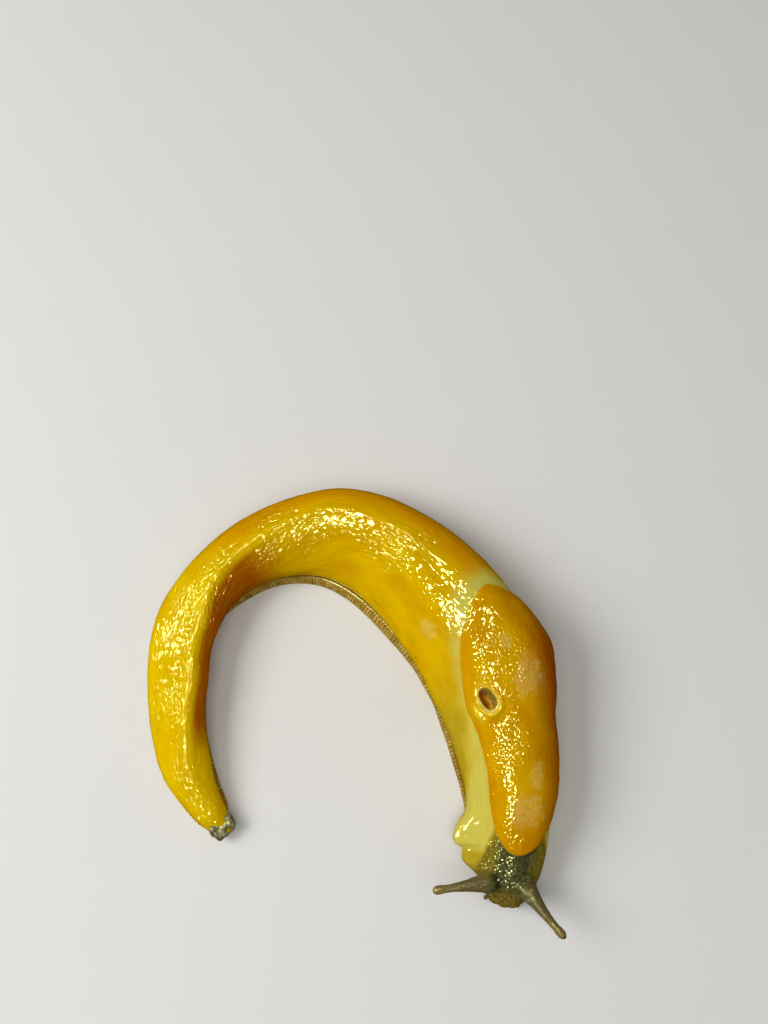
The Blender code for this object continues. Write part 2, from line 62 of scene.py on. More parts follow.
# Each row is a distance behind the snout and the value there
HALF_WIDTH = (
    (0, 1.3), (0.5, 2.5), (1.2, 3.5), (2.4, 4.3), (4, 5), (6, 5.7), (8, 6.2), (12, 6.8), (20, 7.4),
    (34, 8.6), (40, 10), (46, 11.5), (53, 11.3), (62, 11), (73, 9.6), (86, 8.1), (100, 7.6),
    (112, 7.1), (127, 6.6), (138, 6.1), (157, 5.2), (164, 4.1), (169, 3.1), (171, 2.5), (175, 1),
)
TOP = (
    (0, 4.7), (0.5, 5.6), (1.2, 6.4), (2.4, 7.3), (4, 8.1), (6, 8.9), (8, 9.5), (12, 10.6),
    (20, 12.2), (34, 14.2), (50, 15.8), (62, 16.4), (73, 16.4), (86, 14.8), (100, 12.6),
    (111, 11.4), (127, 10.2), (142, 9), (157, 7.8), (164, 6.4), (169, 5), (171, 4), (175, 2.8),
)
BELLY = (
    (0, 3.3), (0.5, 2.4), (1.2, 1.8), (2.4, 1.5), (4.5, 1.55), (8, 2), (14, 2.3), (20, 2.45),
    (142, 2.45), (157, 2.1), (171, 1.55), (175, 1.4),
)
BELLY_HALF_WIDTH = (
    (0, 0.5), (0.5, 1.1), (1.2, 1.8), (2.4, 2.6), (4.5, 3.6), (8, 4.8), (12, 5.8), (20, 6.9),
    (34, 8.3), (50, 9.8), (62, 9.9), (73, 9.2), (86, 8.1), (100, 7.1), (111, 6.3), (127, 5.5),
    (142, 5), (157, 4.4), (164, 3.5), (169, 2.6), (171, 2), (175, 0.8),
)
WAIST = ((0, 0.45), (12, 0.4), (24, 0.34), (175, 0.34))
ROUNDNESS = ((0, 2.2), (24, 2.1), (70, 2.05), (100, 1.9), (127, 1.75), (157, 1.8), (175, 2))
LEAN = (
    (0, 0), (12, 0.9), (20, 1.9), (34, 3.6), (47, 6.3), (62, 6.6), (75, 6.4), (83, 5.9), (90, 4.8),
    (97, 2.6), (104, 0.9), (112, -0.2), (119, -1.9), (127, -4.6), (136, -4.8), (148, -2.9),
    (160, -1), (175, 0),
)
KEEL = ((0, 0), (64, 0), (80, 0.45), (110, 0.6), (150, 0.5), (170, 0), (175, 0))
KEEL_HALF_WIDTH = 1.3
FLARE = (
    (0, 0), (10, 0.3), (20, 1.5), (29, 1.3), (38, 0.4), (46, -0.9), (62, -1.2), (75, -0.6), (86, 0),
    (112, -0.2), (127, -1.2), (140, -1), (155, 0), (175, 0),
)
# Lobes at the right of the neck: place, half length, height, half height and bulge
SWELLING = ((7.6, 2.1, 4.2, 2.5, 3), (11.6, 2.6, 4.4, 2.8, 3.7), (15.2, 3.2, 4.2, 2.8, 3))

# Foot
FOOT_FRONT = 4.5
FOOT_BACK = 170.6
FOOT_EASE = 2.5
FOOT_GAP = 0.3
FRINGE_RIGHT = (
    (0, 0.6), (22, 0.5), (30, 0.8), (46, 1.3), (53, 1.3), (60, 1.6), (68, 1.9), (90, 1.6),
    (112, 1.2), (175, 0.9),
)
FRINGE_LEFT = ((0, 0.9), (24, 1.2), (90, 1), (175, 0.7))
FRINGE_PITCH = 0.87
FRINGE_GROOVE = 0.17
FRINGE_SWELL = 0.07
FRINGE_WANDER = 0.28
FRINGE_LEAN = 0.35
FRINGE_ROWS = 18
# From the skirt's fold down to the sole: the share of the way down, out and up
SKIRT_PROFILE = (
    (0, -0.14, 1), (0.12, 0.2, 0.95), (0.5, 0.62, 0.7), (0.82, 0.97, 0.27), (0.93, 1, 0.11),
    (1, 0.84, 0),
)

# Mantle
MANTLE_FRONT = 10.0
MANTLE_REAR = 59.5
MANTLE_MIDDLE = (MANTLE_FRONT + MANTLE_REAR) / 2
MANTLE_HALF = (MANTLE_REAR - MANTLE_FRONT) / 2
MANTLE_RIGHT = (
    (10, 7.2), (19, 7.7), (25, 7.3), (31, 8.1), (36, 9.1), (41, 10.9), (47, 12.2), (52, 12.6),
    (57, 11), (59.5, 8),
)
MANTLE_LEFT = ((10, 7.8), (20, 8.3), (30, 9.2), (40, 11.6), (47, 12), (54, 9.8), (59.5, 6))
MANTLE_SKEW = ((10, 0), (40, 0), (47, -0.9), (53, -1.9), (59.5, -3))
MANTLE_SQUARE = 0.88
# Share of the way out to the edge, then height over the trunk, from under the edge to the top
MANTLE_EDGE = (
    (0.86, -0.7), (0.93, -0.25), (0.965, 0.12), (0.988, 0.36), (1, 0.62), (1.003, 0.9),
    (0.995, 1.18), (0.975, 1.44), (0.93, 1.72), (0.85, 2.02), (0.72, 2.3), (0.55, 2.5),
    (0.34, 2.62), (0.14, 2.68), (0, 2.7),
)

# Breathing pore
PORE_AT = (40.7, 5.2)
PORE_HALF_LENGTH = 2.6
PORE_HALF_WIDTH = 1.25
PORE_TILT = 28.0
PORE_SQUARE = 2.4
PORE_DEPTH = 1.7
# The lip's crest and half width, where 1 is the edge of the opening
PORE_LIP = (1.36, 0.26)
# Mounds beside the pore: middle and half sizes, the long way and the short way round it
PORE_FOLD = (-1, 2.75, 2.2, 0.95)
PORE_KNOB = (-3.3, 1.2, 1.2, 1.2)
PORE_FOLD_HEIGHT = 0.85
PORE_KNOB_HEIGHT = 0.4

# Tentacles, as places back from the snout, to the right and up
TENTACLE_RADII = (
    (0, 2.5), (0.12, 2.15), (0.22, 1.8), (0.35, 1.38), (0.6, 0.95), (0.85, 0.76), (0.94, 0.88),
    (1, 0.86),
)
UPPER_TENTACLES = {
    "left": ((5, -2.9, 7), (1.3, -6.7, 9.4), (-2, -11.5, 9.6)),
    "right": ((4.4, 3.2, 7.2), (2.6, 8.2, 9), (0.3, 13.7, 9.2)),
}
FEELER_RADIUS = 0.5
FEELER_BASE = (1.9, 2.7, 2.6)
FEELER_TIP = (0.6, 3.3, 0.85)
CAP_ANGLES = (15, 30, 45, 60, 75, 86)
EYE_RADIUS = 0.42
EYE_PROUD = 0.09
EYE_LIFT = 0.45
EYE_FLAT = 0.92

# Lump of slime at the tip of the tail
PLUG_LENGTH = 2.6
PLUG_BLOBS = 60

# Soft random hills of the skin: region, height, size and seed
SOFT_HILLS = (
    ("flesh", 0.14, 7.5, 1), ("flesh", 0.03, 3, 2), ("mantle", 0.11, 3.4, 14),
    ("mantle", 0.07, 1.7, 15), ("head", 0.05, 1.3, 12), ("stalk", 0.045, 0.5, 10),
)
FLESH_SUNK = 0.08
# Grains with grooves between them: height, length, width, seed and the level that stays in place
TAIL_GRAINS = ((0.03, 8, 1.9, 5, 0.8), (0.025, 1.7, 1, 6, 0.6))
HEAD_GRAIN = (0.05, 1.05, 0.95, 9, 0.5)
# Ridges and dents: place, half width and height
MANTLE_DENT = (33.5, 4.5, 0.35)
LOBE_CREASE = (10.1, 0.6, 0.48)
CROWN_RIDGE = (0, 1.5, 0.3)
CROWN_GROOVES = (2.6, 0.6, 0.2)
MOUTH = (3.75, 0.28, 0.5)

# How far back the head's darker skin reaches at its sides, and how much further on top
HEAD_SKIN_END = 6.8
HEAD_SKIN_LONGER = 8.6
# How far out from the mantle the pale skin of the neck reaches, along the body
PALE_REACH = ((0, 16), (19, 14), (26, 5.5), (33, 2.4), (44, 1.6), (54, 2.2), (60, 3.4), (66, 3))
# Films of dried slime: middle along and over, half length along and half width over
SLIME_FILMS = (
    (42, -2.6, 3.4, 2.6), (40.9, -3.4, 1.3, 1.1), (18.3, -0.5, 3, 2.5), (24.5, -2, 2.5, 1),
    (59.5, 11.6, 2.4, 1.7), (49, -0.7, 1.4, 1),
)
# Domes in the wet film over the skin: scale along and over, waver, region and height
DOMES = (
    (0.9, 1.15, 0.5, "tubercles", 0.3), (0.4, 1.3, 0.7, "wrinkles", 0.2),
    (1.3, 1.4, 0.6, "mantle_net", 0.2), (1.5, 1.5, 0.3, "head", 0.14),
)

# The place that the lamps face
SLUG_MIDDLE = (0, 0, 8)
# Lamps: the direction that each stands in, its distance and size in metres, and its power. Broad
# ones light the form evenly, and small ones make the bright spots on the wet skin.
LAMPS = (
    ("key", (-0.62, 0.02, 0.62), 0.62, 0.36, 2.2, "form"),
    ("overhead", (0.05, -0.25, 0.95), 0.7, 0.45, 1.2, "form"),
    ("gloss_left", (-0.62, 0.26, 0.74), 0.62, 0.14, 3.6, "gloss"),
    ("gloss_low", (-0.93, 0.22, 0.3), 0.6, 0.1, 1.4, "gloss"),
    ("gloss_front", (-0.35, -0.34, 0.88), 0.62, 0.15, 4, "gloss"),
    ("gloss_top", (0.02, 0.16, 0.98), 0.66, 0.09, 1.2, "gloss"),
)
GLOSS_COLOUR = (0.92, 1, 0.42)
WORLD_COLOUR = (0.95, 0.97, 1, 1)
WORLD_STRENGTH = 0.2
FLOOR_HALF = 3.0

# Camera: it looks down on the slug, tilted towards its head
CAMERA_AIM = (7.61, 42.65, 0)
CAMERA_DISTANCE = 235.0
CAMERA_TILT = 15.0
SHORT_SIDE_VIEW = 40.0
SENSOR_WIDTH = 36.0
PICTURE_SHAPE = 768 / 1024

# Sizes of the voxels that a skin is made from, and the share and rounds of each smoothing
VOXEL = 0.2
PLUG_VOXEL = 0.13
SKIN_SMOOTHING = (0.5, 3)
ROOT_SMOOTHING = (0.6, 30)
PLUG_SMOOTHING = (0.5, 5)


def through(rows, u):
    """Values at u of a smooth curve through the rows that never overshoots them."""
    x, y = np.array(rows, float).T
    step = np.diff(x)
    slope = np.diff(y) / step
    tangent = np.zeros(len(x))
    for i in range(1, len(x) - 1):
        if slope[i - 1] * slope[i] > 0:
            before = 2 * step[i] + step[i - 1]
            after = step[i] + 2 * step[i - 1]
            tangent[i] = (before + after) / (before / slope[i - 1] + after / slope[i])
    tangent[0] = slope[0]
    tangent[-1] = slope[-1]
    u = np.clip(u, x[0], x[-1])
    i = np.clip(np.searchsorted(x, u, side="right") - 1, 0, len(x) - 2)
    t = (u - x[i]) / step[i]
    start = (1 + 2 * t) * (1 - t) ** 2 * y[i] + t * (1 - t) ** 2 * step[i] * tangent[i]
    end = t * t * (3 - 2 * t) * y[i + 1] + t * t * (t - 1) * step[i] * tangent[i + 1]
    return start + end


def fade(low, high, x):
    """0 up to low, 1 from high on, and smooth between; low may be the larger."""
    t = np.clip((x - low) / (high - low), 0, 1)
    return t * t * (3 - 2 * t)


def bump(x):
    """A smooth hill of height 1 at 0 that is nearly gone at 2."""
    return np.exp(-x * x)


def ridge(x, form):
    """The height at x of a ridge with a place, a half width and a height."""
    place, half, height = form
    return height * bump((x - place) / half)


def unit(vectors):
    """The vectors with their length made 1."""
    return vectors / np.linalg.norm(vectors, axis=-1, keepdims=True)


def turns(count):
    """Evenly spaced angles all the way round."""
    return np.linspace(0, 2 * math.pi, count + 1)[:-1]


def middle_line():
    """Places along the body's middle, and the direction back along it at each."""
    step = 0.25
    u = np.arange(0.0, BODY_LENGTH + 2 * step, step)
    bend = np.zeros(len(u))
    start = 0.0
    for length, turn in BENDS:
        inside = np.minimum(u + step / 2, start + length) - np.maximum(u - step / 2, start)
        bend += math.radians(turn) / length * np.clip(inside / step, 0, 1)
        start += length
    reach = int(BEND_EASE / step)
    window = np.hanning(reach + 2)[1:-1]
    window /= window.sum()
    longer = np.concatenate([np.full(reach, bend[0]), bend, np.full(reach, bend[-1])])
    bend = np.convolve(longer, window, "same")[reach:-reach]
    turned = np.concatenate([[0.0], np.cumsum((bend[1:] + bend[:-1]) / 2 * step)])
    heading = math.radians(FACING) + turned
    back = np.stack([-np.sin(heading), np.cos(heading)], axis=-1)
    places = np.concatenate([[[0.0, 0.0]], np.cumsum((back[1:] + back[:-1]) / 2 * step, axis=0)])
    return u, places + SNOUT_AT, back


LINE_U, LINE_AT, LINE_BACK = middle_line()


def to_world(u, across, up):
    """Points from their distances behind the snout, across the middle line and up."""
    u, across, up = np.broadcast_arrays(*(np.asarray(x, float) for x in (u, across, up)))
    across = across + through(SWAY, u)
    at, back = (
        np.stack([np.interp(u, LINE_U, row) for row in rows.T], axis=-1)
        for rows in (LINE_AT, LINE_BACK)
    )
    back = unit(back)
    at = at + back * np.minimum(u, 0)[..., None]
    x = at[..., 0] - back[..., 1] * across
    y = at[..., 1] + back[..., 0] * across
    return np.stack([x, y, up], axis=-1)


def section(u, back_points, flank_points):
    """Outlines of the trunk, one row for each u, from the right of the belly over the back."""
    u = np.asarray(u, float)[:, None]
    wide = through(HALF_WIDTH, u)
    top = through(TOP, u)
    low = through(BELLY, u)
    belly = through(BELLY_HALF_WIDTH, u)
    waist = low + through(WAIST, u) * (top - low)
    power = 2 / through(ROUNDNESS, u)
    turn = np.linspace(0, math.pi, back_points)[None, :]
    across = wide * np.sign(np.cos(turn)) * np.abs(np.cos(turn)) ** power
    up = waist + (top - waist) * np.abs(np.sin(turn)) ** power
    drop = np.linspace(0, math.pi / 2, flank_points + 1)[None, 1:]
    flank_across = belly + (wide - belly) * np.cos(drop)
    flank_up = waist - (waist - low) * np.sin(drop)
    up = up + through(KEEL, u) * bump(across / KEEL_HALF_WIDTH)
    across = np.concatenate([flank_across[:, ::-1], across, -flank_across], axis=1)
    up = np.concatenate([flank_up[:, ::-1], up, flank_up], axis=1)
    for place, length, height, reach, bulge in SWELLING:
        swell = bulge * bump((u - place) / length) * bump((up - height) / reach)
        across = across + np.where(across > 0, swell, 0)
    share = np.clip((up - low) / (top - low), 0, 1)
    across = across + np.where(across > 0, through(FLARE, u) * (1 - share), 0)
    across = across - through(LEAN, u) * share**2 * (3 - 2 * share)
    return across, up


# The trunk's skin as a table: a row every ROW_STEP along, a column every COLUMN_STEP over the back
ROW_STEP = 0.5
COLUMN_STEP = 0.25
OVER_MOST = 30.0
ROWS = np.arange(0.0, BODY_LENGTH + ROW_STEP / 2, ROW_STEP)
COLUMNS = np.arange(-OVER_MOST, OVER_MOST + COLUMN_STEP / 2, COLUMN_STEP)


def skin_table():
    """Across and up of the trunk's skin at each row and column, and the way out there."""
    across, up = section(ROWS, 181, 12)
    table = np.zeros((4, len(ROWS), len(COLUMNS)))
    for i in range(len(ROWS)):
        run = np.concatenate([[0.0], np.cumsum(np.hypot(np.diff(across[i]), np.diff(up[i])))])
        place = run[np.argmax(up[i])] - COLUMNS
        table[0, i] = np.interp(place, run, across[i])
        table[1, i] = np.interp(place, run, up[i])
        slope_a = np.interp(place + 0.4, run, across[i]) - np.interp(place - 0.4, run, across[i])
        slope_z = np.interp(place + 0.4, run, up[i]) - np.interp(place - 0.4, run, up[i])
        size = np.maximum(np.hypot(slope_a, slope_z), 1e-9)
        table[2, i] = slope_z / size
        table[3, i] = -slope_a / size
    return table


SKIN = skin_table()


def over_back(along, over, rise):
    """World points of places on the slug."""
    along, over, rise = np.broadcast_arrays(along, over, rise)
    i = np.clip(along / ROW_STEP, 0, len(ROWS) - 1.001)
    j = np.clip((over + OVER_MOST) / COLUMN_STEP, 0, len(COLUMNS) - 1.001)
    i0, j0 = i.astype(int), j.astype(int)
    s, t = i - i0, j - j0
    a, z, out_a, out_z = (
        (1 - s) * ((1 - t) * row[i0, j0] + t * row[i0, j0 + 1])
        + s * ((1 - t) * row[i0 + 1, j0] + t * row[i0 + 1, j0 + 1])
        for row in SKIN
    )
    return to_world(along, a + out_a * rise, z + out_z * rise)


def places_of(points):
    """Along, over and rise of points near the slug, and their across."""
    flat = LINE_AT[::2]
    along, over, rise, across = np.zeros((4, len(points)))
    for start in range(0, len(points), 20000):
        part = slice(start, start + 20000)
        p = points[part]
        gap = p[:, None, :2] - flat[None]
        k = 2 * np.argmin((gap**2).sum(-1), axis=1)
        back = unit(LINE_BACK[k])
        offset = p[:, :2] - LINE_AT[k]
        u = LINE_U[k] + (offset * back).sum(-1)
        a = -offset[:, 0] * back[:, 1] + offset[:, 1] * back[:, 0] - through(SWAY, u)
        row = np.clip(np.round(u / ROW_STEP).astype(int), 0, len(ROWS) - 1)
        distance = (SKIN[0, row] - a[:, None]) ** 2 + (SKIN[1, row] - p[:, 2:3]) ** 2
        j = np.argmin(distance, axis=1)
        out_a, out_z = SKIN[2, row, j], SKIN[3, row, j]
        da, dz = a - SKIN[0, row, j], p[:, 2] - SKIN[1, row, j]
        along[part] = u
        across[part] = a
        over[part] = COLUMNS[j] + np.clip(da * out_z - dz * out_a, -COLUMN_STEP, COLUMN_STEP)
        rise[part] = da * out_a + dz * out_z
    return along, over, rise, across


def chance(i, j, k, seed):
    """Even random numbers from 0 to 1, one for each three whole numbers."""
    n = (i * 374761393 + j * 668265263 + k * 2147483647 + seed * 974634777) & 0xFFFFFFFF
    n = ((n ^ (n >> 13)) * 1274126177) & 0xFFFFFFFF
    n = ((n ^ (n >> 16)) * 2246822519) & 0xFFFFFFFF
    return ((n ^ (n >> 15)) & 0xFFFFFF) / 0xFFFFFF


def ripple(points, size, seed):
    """Soft random hills from -1 to 1, about one size across."""
    p = points / size
    cell = np.floor(p).astype(np.int64)
    t = p - cell
    t = t * t * (3 - 2 * t)
    total = np.zeros(len(points))
    for corner in range(8):
        d = np.array([corner & 1, corner >> 1 & 1, corner >> 2 & 1])
        weight = np.prod(np.where(d == 1, t, 1 - t), axis=1)
        total += weight * chance(*(cell + d).T, seed)
    return total * 2 - 1


def pebbles(x, y, seed):
    """Rounded cells with grooves between them: 0 in a groove, 1 on a cell's middle."""
    i, j = np.floor(x).astype(np.int64), np.floor(y).astype(np.int64)
    nearest = np.full(len(x), 9.0)
    second = np.full(len(x), 9.0)
    for di in (-1, 0, 1):
        for dj in (-1, 0, 1):
            a, b = i + di, j + dj
            px = a + 0.15 + 0.7 * chance(a, b, 0, seed)
            py = b + 0.15 + 0.7 * chance(a, b, 1, seed)
            distance = np.hypot(x - px, y - py)
            second = np.minimum(second, np.maximum(nearest, distance))
            nearest = np.minimum(nearest, distance)
    return fade(0, 0.55, second - nearest)


def loft(rings):
    """Points and faces of a closed form through rings of equally many points."""
    count, around = len(rings), len(rings[0])
    points = np.concatenate(rings)
    faces = []
    for here in range(0, (count - 1) * around, around):
        for j in range(around):
            k = (j + 1) % around
            faces.append((here + j, here + k, here + around + k, here + around + j))
    faces.append(tuple(range(around))[::-1])
    faces.append(tuple(range((count - 1) * around, count * around)))
    return points, faces


def trunk_form():
    """The trunk, neck and head, reaching a little down into the foot."""
    u = np.linspace(0, BODY_LENGTH - 1.6, 380)
    across, up = section(u, 73, 8)
    sunk = 0.7 * fade(4.6, 6, u)[:, None]
    low = through(BELLY, u)[:, None]
    left = (through(BELLY_HALF_WIDTH, u) * 0.97)[:, None]
    right = left + through(FLARE, u)[:, None]
    across = np.concatenate([across, -left, left * 0, right], axis=1)
    up = np.concatenate([up, low - sunk, low - sunk, low - sunk], axis=1)
    rings = to_world(u[:, None], across, up)
    return loft(list(rings))


def mantle_points(share, turn, rise):
    """Points of the mantle: a share of the way from its middle to its edge."""
    u = MANTLE_MIDDLE + MANTLE_HALF * np.cos(turn)
    side = np.sin(turn)
    reach = np.where(side > 0, through(MANTLE_RIGHT, u), through(MANTLE_LEFT, u))
    aside = reach * np.sign(side) * np.abs(side) ** MANTLE_SQUARE + through(MANTLE_SKEW, u)
    return over_back(MANTLE_MIDDLE + share * MANTLE_HALF * np.cos(turn), share * aside, rise)


def mantle_form():
    """The mantle's cape, sunk into the trunk except at its edge."""
    turn = turns(240)
    at = np.linspace(0, len(MANTLE_EDGE) - 1, 64)
    shares, rises = (np.interp(at, range(len(MANTLE_EDGE)), row) for row in zip(*MANTLE_EDGE))
    rings = [mantle_points(0.02, turn, -1.0), mantle_points(0.5, turn, -1.0)]
    rings += [mantle_points(max(share, 0.02), turn, rise) for share, rise in zip(shares, rises)]
    return loft(rings)


def bowed(places, share):
    """Points on the curve from the first place to the last, drawn towards the middle one."""
    first, middle, last = (to_world(*place) for place in places)
    share = np.asarray(share, float)[:, None]
    return (1 - share) ** 2 * first + 2 * share * (1 - share) * middle + share**2 * last


def tube_form(centres, radii, around=40):
    """A tube along the centres, with a rounded far end."""
    rings = []
    side = np.array([0.0, 0.0, 1.0])
    count = len(centres)
    turn = turns(around)[:, None]
    for i, centre in enumerate(centres):
        ahead = unit(centres[min(i + 1, count - 1)] - centres[max(i - 1, 0)])
        side = unit(side - ahead * (side @ ahead))
        other = np.cross(ahead, side)
        rings.append(centre + (side * np.cos(turn) + other * np.sin(turn)) * radii[i])
    end, last = centres[-1], rings[-1]
    for angle in np.radians(CAP_ANGLES):
        rings.append(end + (last - end) * math.cos(angle) + ahead * radii[-1] * math.sin(angle))
    return loft(rings)


def tentacle_form(places):
    """One of the upper tentacles."""
    share = np.linspace(0, 1, 60)
    radii = through(TENTACLE_RADII, share)
    return tube_form(bowed(places, share), radii)


def feeler_ends(sign):
    """The ends of the lower tentacle on the right, for 1, or on the left, for -1."""
    return [to_world(back, sign * across, up) for back, across, up in (FEELER_BASE, FEELER_TIP)]


def feeler_form(sign):
    """One of the lower tentacles."""
    base, tip = feeler_ends(sign)
    share = np.linspace(0, 1, 20)
    radii = FEELER_RADIUS * (1.45 - 0.6 * fade(0, 0.6, share) + 0.1 * bump((share - 1) / 0.2))
    share = share[:, None]
    return tube_form(base * (1 - share) + tip * share, radii, 28)


def placed(name, data):
    """An object in the scene that shows the mesh, the lamp or the camera."""
    obj = bpy.data.objects.new(name, data)
    bpy.context.scene.collection.objects.link(obj)
    return obj


def add_piece(name, points, faces, scale=MM):
    """A piece of the scene, from points in millimetres unless scale says otherwise."""
    mesh = bpy.data.meshes.new(name)
    mesh.from_pydata((points * scale).tolist(), [], faces)
    mesh.update()
    return placed(name, mesh)


def finished(piece, material, **fields):
    """The piece made smooth, with its material and the values at its points that this one reads."""
    mesh = piece.data
    mesh.polygons.foreach_set("use_smooth", [True] * len(mesh.polygons))
    for name, values in fields.items():
        kind, key = ("FLOAT_VECTOR", "vector") if name == "place" else ("FLOAT", "value")
        attribute = mesh.attributes.new(name, kind, "POINT")
        attribute.data.foreach_set(key, values.astype(np.float32).ravel())
    mesh.materials.append(material)
    return piece


def joined(forms):
    """The points and faces of several forms as one."""
    points, faces, first = [], [], 0
    for form_points, form_faces in forms:
        points.append(form_points)
        faces += [tuple(v + first for v in face) for face in form_faces]
        first += len(form_points)
    return np.concatenate(points), faces


def remeshed(forms, voxel):
    """Points and four-sided faces of the one skin that encloses the forms."""
    blank = add_piece("blank", *joined(forms), scale=1.0)
    change = blank.modifiers.new("skin", "REMESH")
    change.mode = "VOXEL"
    change.voxel_size = voxel
    graph = bpy.context.evaluated_depsgraph_get()
    mesh = blank.evaluated_get(graph).to_mesh()
    points = np.empty(len(mesh.vertices) * 3, np.float32)
    mesh.vertices.foreach_get("co", points)
    counts = np.empty(len(mesh.polygons), np.int32)
    mesh.polygons.foreach_get("loop_total", counts)
    corners = np.empty(len(mesh.loops), np.int32)
    mesh.loops.foreach_get("vertex_index", corners)
    blank.evaluated_get(graph).to_mesh_clear()
    bpy.data.objects.remove(blank)
    if not (counts == 4).all():
        raise ValueError("the remeshed skin has faces that aren't four-sided")
    return points.reshape(-1, 3).astype(float), corners.reshape(-1, 4)


class Neighbours:
    """The edges of a mesh, for smoothing and for the way out at each point."""

    def __init__(self, count, faces):
        pairs = np.concatenate([faces[:, [i, (i + 1) % 4]] for i in range(4)])
        self.pairs = np.unique(np.sort(pairs, axis=1), axis=0)
        self.count = count
        self.faces = faces
        self.degree = self.gathered(np.ones(count))

    def gathered(self, values):
        a, b = self.pairs.T
        return np.bincount(a, values[b], self.count) + np.bincount(b, values[a], self.count)

    def mean(self, points):
        degree = np.maximum(self.degree, 1)
        return np.stack([self.gathered(column) / degree for column in points.T], axis=1)

    def smooth(self, points, weight, rounds):
        for _ in range(rounds):
            points = points + weight * (self.mean(points) - points)
        return points

    def out(self, points):
        f = self.faces
        turned = np.cross(points[f[:, 2]] - points[f[:, 0]], points[f[:, 3]] - points[f[:, 1]])
        total = np.stack([
            sum(np.bincount(f[:, k], turned[:, i], self.count) for k in range(4)) for i in range(3)
        ], axis=1)
        return total / np.maximum(np.linalg.norm(total, axis=1, keepdims=True), 1e-12)


def share_along(points, places):
    """How far along a tentacle points lie, and how far from its middle line."""
    shares = np.linspace(0, 1, 80)
    centres = bowed(places, shares)
    best = np.full(len(points), 1e9)
    share = np.zeros(len(points))
    for s, centre in zip(shares, centres):
        distance = ((points - centre) ** 2).sum(1)
        nearer = distance < best
        best = np.where(nearer, distance, best)
        share = np.where(nearer, s, share)
    return share, np.sqrt(best)


def mantle_share(along, over):
    """Share of the way from the mantle's middle to its edge: 1 on the edge, more outside."""
    x = (along - MANTLE_MIDDLE) / MANTLE_HALF
    low, high = np.full(len(x), 0.02), np.full(len(x), 4.0)
    for _ in range(16):
        share = (low + high) / 2
        edge_u = MANTLE_MIDDLE + MANTLE_HALF * np.clip(x / share, -1.0, 1.0)
        aside = over / share - through(MANTLE_SKEW, edge_u)
        reach = np.where(aside > 0, through(MANTLE_RIGHT, edge_u), through(MANTLE_LEFT, edge_u))
        size = (x / share) ** 2 + (np.abs(aside) / reach) ** (2 / MANTLE_SQUARE)
        low = np.where(size > 1, share, low)
        high = np.where(size > 1, high, share)
    return share


def pore_places(along, over):
    """Places the long and the short way round the breathing pore, and 1 on its opening's edge."""
    tilt = math.radians(PORE_TILT)
    du, do = along - PORE_AT[0], over - PORE_AT[1]
    long_way = du * math.cos(tilt) + do * math.sin(tilt)
    short_way = do * math.cos(tilt) - du * math.sin(tilt)
    ring = np.abs(long_way / PORE_HALF_LENGTH) ** PORE_SQUARE
    ring = ring + np.abs(short_way / PORE_HALF_WIDTH) ** PORE_SQUARE
    return long_way, short_way, ring ** (1 / PORE_SQUARE)


def mound(long_way, short_way, form):
    """1 on the middle of a mound beside the breathing pore, and less away from it."""
    middle_long, middle_short, half_long, half_short = form
    away_long = (long_way - middle_long) / half_long
    return bump(np.hypot(away_long, (short_way - middle_short) / half_short))


def skin_fields(points):
    """Where each point of the skin lies, and how much it belongs to each region, from 0 to 1."""
    along, over, rise, across = places_of(points)
    share = mantle_share(along, over)
    outside = (share - 1) * np.hypot(along - 35.0, over) / np.maximum(share, 0.1)
    waver = ripple(points, 2.6, 11)
    tentacle, tip, root, feeler = np.zeros((4, len(points)))
    for places in UPPER_TENTACLES.values():
        s, distance = share_along(points, places)
        inside = fade(0.7, 0.35, distance - through(TENTACLE_RADII, s)) * fade(0.02, 0.3, s)
        tentacle = np.maximum(tentacle, inside)
        tip = np.maximum(tip, inside * fade(0.5, 0.95, s))
        root = np.maximum(root, fade(4.2, 2, distance) * fade(0.36, 0.18, s))
    for sign in (-1, 1):
        base, end = feeler_ends(sign)
        t = np.clip((points - base) @ (end - base) / ((end - base) @ (end - base)), 0, 1)
        distance = np.linalg.norm(points - base - t[:, None] * (end - base), axis=1)
        feeler = np.maximum(feeler, fade(1.1, 0.75, distance) * fade(0.2, 0.5, t))
    stalk = np.maximum(tentacle, feeler)
    mantle = fade(0.2, 0.5, rise) * fade(1.06, 1.03, share) * (1 - stalk)
    head_end = HEAD_SKIN_END + HEAD_SKIN_LONGER * fade(8.6, 4.6, np.abs(over)) + 0.8 * waver
    head_skin = fade(head_end + 2.2, head_end - 2.2, along) * (1 - mantle)
    head = head_skin * (1 - stalk)
    trunk = (1 - mantle) * (1 - head_skin) * (1 - stalk)
    pale_reach = through(PALE_REACH, along) + 1.2 * waver
    pale = trunk * fade(pale_reach + 2.6, pale_reach - 2.2, outside) * fade(69, 60, along)
    long_way, short_way, ring = pore_places(along, over)
    upper = fade(10, 12, points[:, 2])
    return dict(
        along=along, over=over, rise=rise, across=across, up=points[:, 2],
        share=share, mantle=mantle, head=head, head_skin=head_skin, trunk=trunk,
        flesh=trunk + mantle, stalk=stalk, tip=tip, root=root, feeler=feeler,
        pale=pale, lobe_place=along + 0.35 * np.maximum(8.5 - over, 0) + 0.25 * waver,
        pore_long=long_way, pore_short=short_way, pore_ring=ring,
        lower_side=0.5 + 0.5 * np.cos(np.arctan2(short_way, -long_way) - 0.7),
        fold=mantle * mound(long_way, short_way, PORE_FOLD),
        pore=fade(1.04, 0.93, ring) * mantle * upper,
        near_pore=fade(3.2, 1.2, ring) * mantle * upper,
    )


